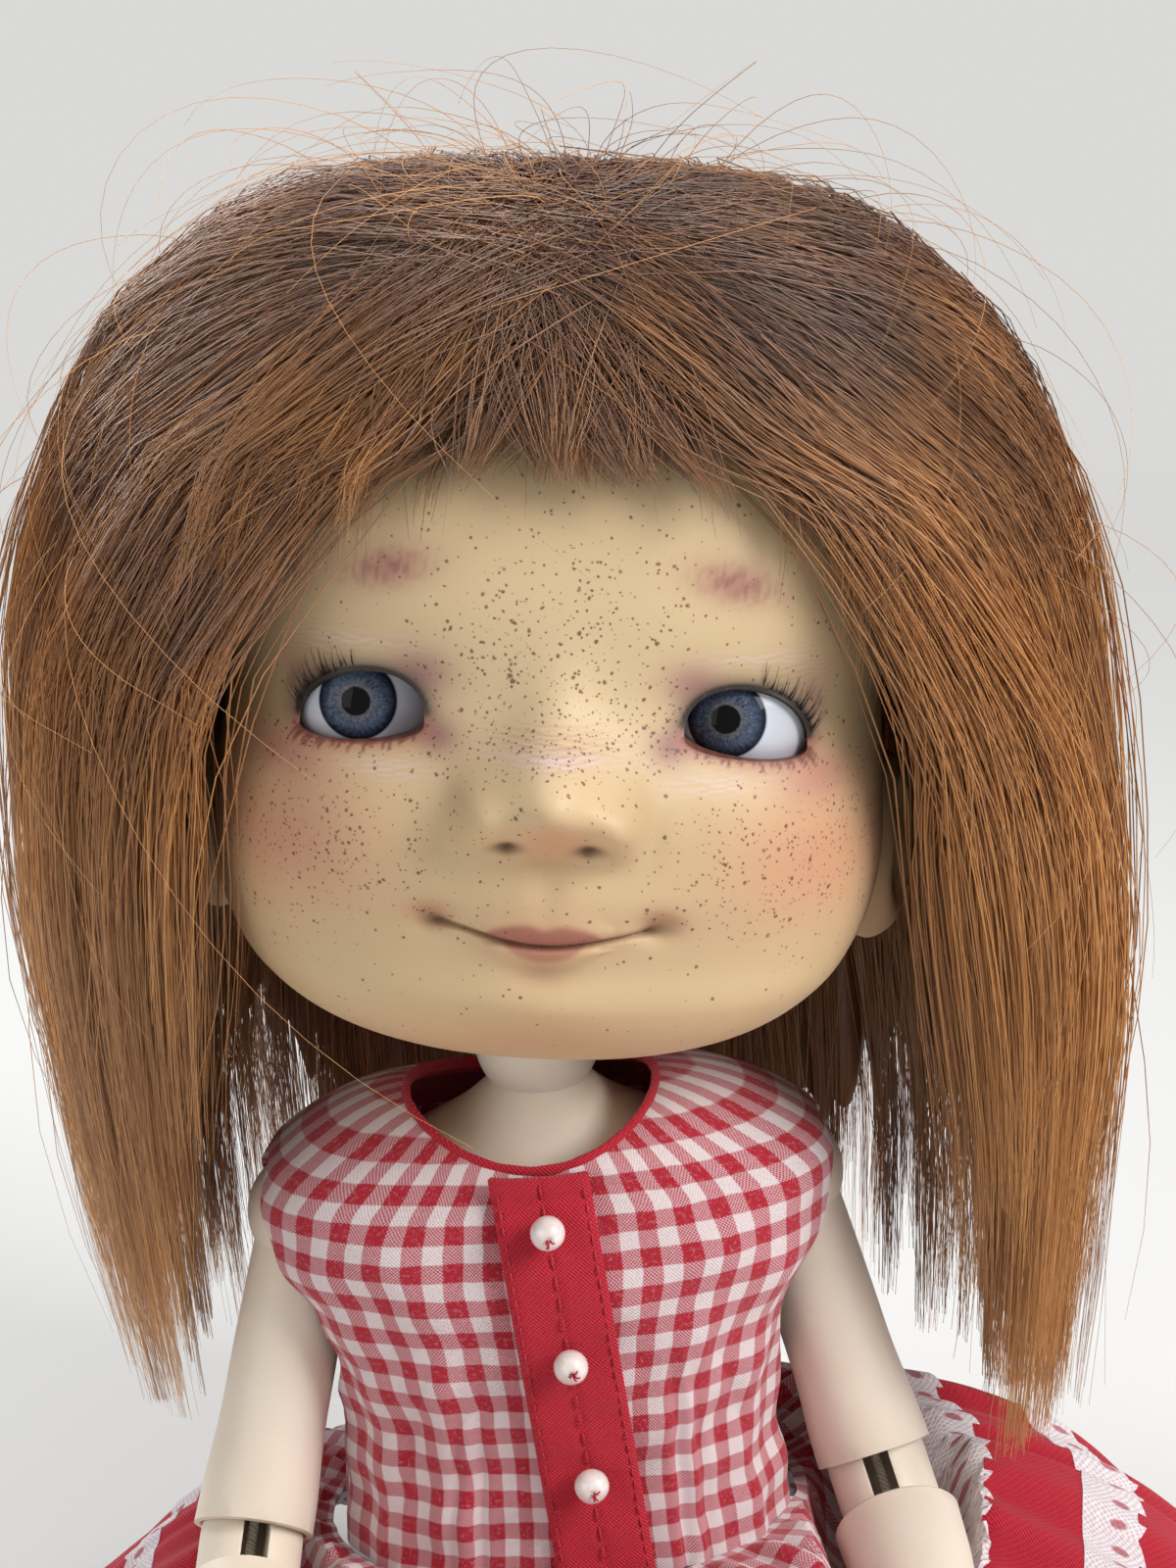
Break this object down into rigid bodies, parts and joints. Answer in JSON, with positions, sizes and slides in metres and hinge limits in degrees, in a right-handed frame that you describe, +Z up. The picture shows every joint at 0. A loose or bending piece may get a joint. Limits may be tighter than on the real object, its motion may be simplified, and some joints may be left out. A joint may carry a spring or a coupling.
{
  "type": "ball jointed doll",
  "caption": "Seated cast-resin ball jointed doll with glass eyes, a long straight wig, a buttoned gingham bodice and a tiered lace-edged skirt.",
  "frame": {"origin": "the middle of the pelvis on the plane that the doll sits on", "axes": "+Z up; the doll faces -Y, and its left side is at +X"},
  "size_m": [0.1249, 0.1424, 0.1434],
  "materials": {
    "face_resin": "matte tan cast resin with painted features",
    "body_resin": "smooth ivory cast resin",
    "steel": "bright bent wire and small magnets",
    "gingham": "red and white woven gingham",
    "red_cotton": "red cotton twill",
    "lace": "white cotton lace",
    "pearl": "pearl lacquer",
    "eye_glass": "polished glass with a painted iris",
    "hair": "silky auburn fibre",
    "elastic": "white woven elastic cord",
    "putty": "soft eye putty",
    "lash_black": "black lash fibre"
  },
  "bodies": {
    "pelvis": {"pelvis": "body_resin", "skirt_tier_upper": "gingham", "skirt_lace_upper": "lace", "skirt_tier_middle": "red_cotton", "skirt_lace_middle": "lace", "skirt_tier_lower": "red_cotton", "skirt_lace_hem": "lace", "leg_elastic": "elastic"},
    "torso": {"chest": "body_resin", "dress_bodice": "gingham", "dress_placket": "red_cotton", "neckline_binding": "red_cotton", "pearl_button_1": "pearl", "pearl_button_2": "pearl", "pearl_button_3": "pearl", "arm_elastic": "elastic"},
    "neck_hook": {"neck_hook": "steel"},
    "head": {"face_shell": "face_resin", "eye_left": "eye_glass", "eye_right": "eye_glass", "eye_putty_left": "putty", "eye_putty_right": "putty", "lashes_left": "lash_black", "lashes_right": "lash_black", "face_magnet_left": "steel", "face_magnet_right": "steel"},
    "head_cap": {"head_cap": "face_resin", "cap_magnet_left": "steel", "cap_magnet_right": "steel"},
    "wig": {"wig_cap": "hair", "wig_crown": "hair", "wig_fringe": "hair", "wig_side_left": "hair", "wig_side_right": "hair", "wig_back": "hair"},
    "upper_arm_left": {"upper_arm_left": "body_resin"},
    "elbow_left": {"elbow_left": "body_resin"},
    "forearm_left": {"forearm_left": "body_resin"},
    "hand_left": {"hand_left": "body_resin", "hand_hook_left": "steel"},
    "upper_arm_right": {"upper_arm_right": "body_resin"},
    "elbow_right": {"elbow_right": "body_resin"},
    "forearm_right": {"forearm_right": "body_resin"},
    "hand_right": {"hand_right": "body_resin", "hand_hook_right": "steel"},
    "thigh_left": {"thigh_left": "body_resin"},
    "knee_left": {"knee_left": "body_resin"},
    "shin_left": {"shin_left": "body_resin"},
    "foot_left": {"foot_left": "body_resin", "ankle_hook_left": "steel"},
    "thigh_right": {"thigh_right": "body_resin"},
    "knee_right": {"knee_right": "body_resin"},
    "shin_right": {"shin_right": "body_resin"},
    "foot_right": {"foot_right": "body_resin", "ankle_hook_right": "steel"}
  },
  "joints": [
    {"name": "waist_bend", "type": "hinge", "parent": "pelvis", "child": "torso", "pos_m": [0, 0, 0.024], "axis": [0.9984, 0, 0.0558], "range_deg": [-8, 12], "deforming": ["dress_bodice", "dress_placket", "skirt_tier_upper", "skirt_lace_upper", "skirt_tier_middle", "skirt_lace_middle", "skirt_tier_lower", "skirt_lace_hem", "leg_elastic"]},
    {"name": "neck_nod", "type": "hinge", "parent": "torso", "child": "neck_hook", "pos_m": [-0.00232, 0, 0.06553], "axis": [0.9956, -0.0777, -0.0517], "range_deg": [-10, 12]},
    {"name": "head_turn", "type": "hinge", "parent": "neck_hook", "child": "head", "pos_m": [-0.00232, 0, 0.06553], "axis": [0.0622, 0.1392, 0.9883], "range_deg": [-30, 30], "deforming": ["wig_fringe", "wig_side_left", "wig_side_right", "wig_back"]},
    {"name": "cap_lift", "type": "slide", "parent": "head", "child": "head_cap", "axis": [0.0622, 0.1392, 0.9883], "range_m": [0, 0.04]},
    {"name": "wig_lift", "type": "slide", "parent": "head_cap", "child": "wig", "axis": [0.0622, 0.1392, 0.9883], "range_m": [0, 0.06], "deforming": ["wig_cap"]},
    {"name": "shoulder_left", "type": "hinge", "parent": "torso", "child": "upper_arm_left", "pos_m": [0.01956, 0, 0.05214], "axis": [-0.9527, 0, -0.304], "range_deg": [-30, 45], "deforming": ["arm_elastic"]},
    {"name": "elbow_upper_left", "type": "hinge", "parent": "upper_arm_left", "child": "elbow_left", "pos_m": [0.02873, -0.00158, 0.0234], "axis": [-0.9527, 0, -0.304], "range_deg": [-39, 16]},
    {"name": "elbow_lower_left", "type": "hinge", "parent": "elbow_left", "child": "forearm_left", "pos_m": [0.02986, -0.00493, 0.01987], "axis": [-0.9527, 0, -0.304], "range_deg": [-39, 16]},
    {"name": "wrist_left", "type": "hinge", "parent": "forearm_left", "child": "hand_left", "pos_m": [0.031, -0.02863, 0.01629], "axis": [-0.9527, 0, -0.304], "range_deg": [-30, 30]},
    {"name": "shoulder_right", "type": "hinge", "parent": "torso", "child": "upper_arm_right", "pos_m": [-0.02257, 0, 0.04978], "axis": [-0.9789, 0, 0.2045], "range_deg": [-30, 45]},
    {"name": "elbow_upper_right", "type": "hinge", "parent": "upper_arm_right", "child": "elbow_right", "pos_m": [-0.02857, -0.00731, 0.0211], "axis": [-0.9789, 0, 0.2045], "range_deg": [-39, 16]},
    {"name": "elbow_lower_right", "type": "hinge", "parent": "elbow_right", "child": "forearm_right", "pos_m": [-0.02918, -0.0113, 0.01815], "axis": [-0.9789, 0, 0.2045], "range_deg": [-39, 16]},
    {"name": "wrist_right", "type": "hinge", "parent": "forearm_right", "child": "hand_right", "pos_m": [-0.02901, -0.03528, 0.01897], "axis": [-0.9789, 0, 0.2045], "range_deg": [-30, 30]},
    {"name": "hip_left", "type": "hinge", "parent": "pelvis", "child": "thigh_left", "pos_m": [0.012, -0.003, 0.0097], "axis": [-1, 0, 0], "range_deg": [-80, 10]},
    {"name": "knee_upper_left", "type": "hinge", "parent": "thigh_left", "child": "knee_left", "pos_m": [0.012, -0.04298, 0.0083], "axis": [1, 0, 0], "range_deg": [0, 55]},
    {"name": "knee_lower_left", "type": "hinge", "parent": "knee_left", "child": "shin_left", "pos_m": [0.012, -0.04947, 0.00808], "axis": [1, 0, 0], "range_deg": [0, 55]},
    {"name": "ankle_left", "type": "hinge", "parent": "shin_left", "child": "foot_left", "pos_m": [0.012, -0.08545, 0.00682], "axis": [1, 0, 0], "range_deg": [-20, 20]},
    {"name": "hip_right", "type": "hinge", "parent": "pelvis", "child": "thigh_right", "pos_m": [-0.012, -0.003, 0.0097], "axis": [-1, 0, 0], "range_deg": [-80, 10]},
    {"name": "knee_upper_right", "type": "hinge", "parent": "thigh_right", "child": "knee_right", "pos_m": [-0.012, -0.04298, 0.0083], "axis": [1, 0, 0], "range_deg": [0, 55]},
    {"name": "knee_lower_right", "type": "hinge", "parent": "knee_right", "child": "shin_right", "pos_m": [-0.012, -0.04947, 0.00808], "axis": [1, 0, 0], "range_deg": [0, 55]},
    {"name": "ankle_right", "type": "hinge", "parent": "shin_right", "child": "foot_right", "pos_m": [-0.012, -0.08545, 0.00682], "axis": [1, 0, 0], "range_deg": [-20, 20]}
  ]
}
